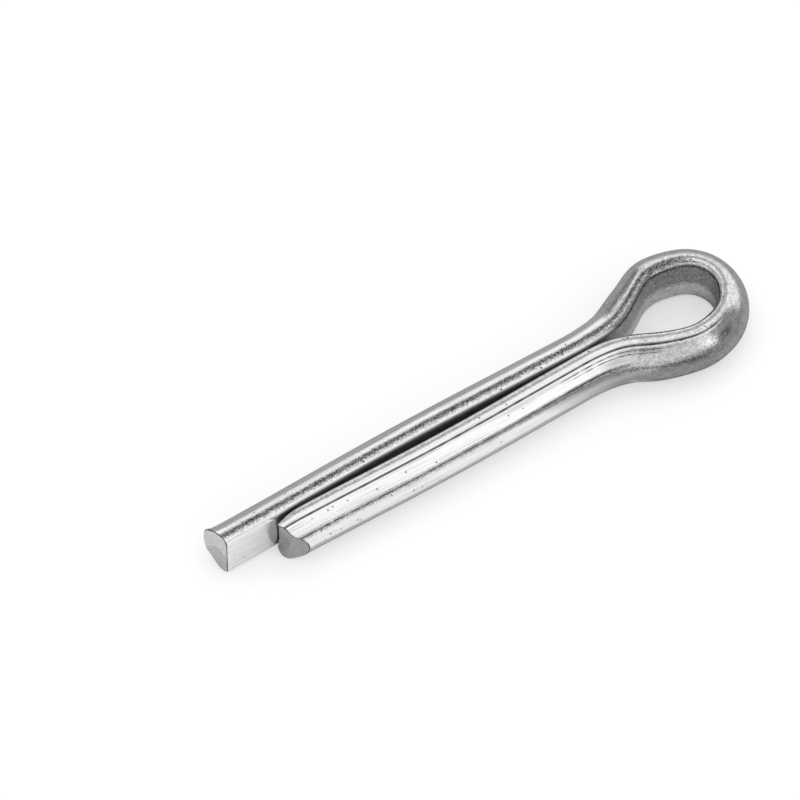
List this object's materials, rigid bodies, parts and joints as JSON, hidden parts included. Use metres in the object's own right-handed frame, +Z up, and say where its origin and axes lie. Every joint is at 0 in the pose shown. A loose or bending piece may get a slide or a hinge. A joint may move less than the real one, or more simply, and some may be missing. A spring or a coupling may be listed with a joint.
{
  "type": "cotter pin",
  "caption": "Split cotter pin of zinc-plated half-round steel wire: a teardrop eye and flat-to-flat legs of unequal length that spread to lock a nut, clevis or shaft.",
  "frame": {"origin": "middle of the pin's box, on the surface that it lies on", "axes": "+X along the pin towards the eye, +Y towards the side of the long leg, +Z up, through the eye"},
  "size_m": [0.0404, 0.0088, 0.0043],
  "materials": {
    "zinc_plated_wire": "bright zinc plating over drawn steel wire, satin, with fine grain and lengthwise draw marks"
  },
  "bodies": {
    "root": {"cotter_pin": "zinc_plated_wire"}
  },
  "joints": []
}
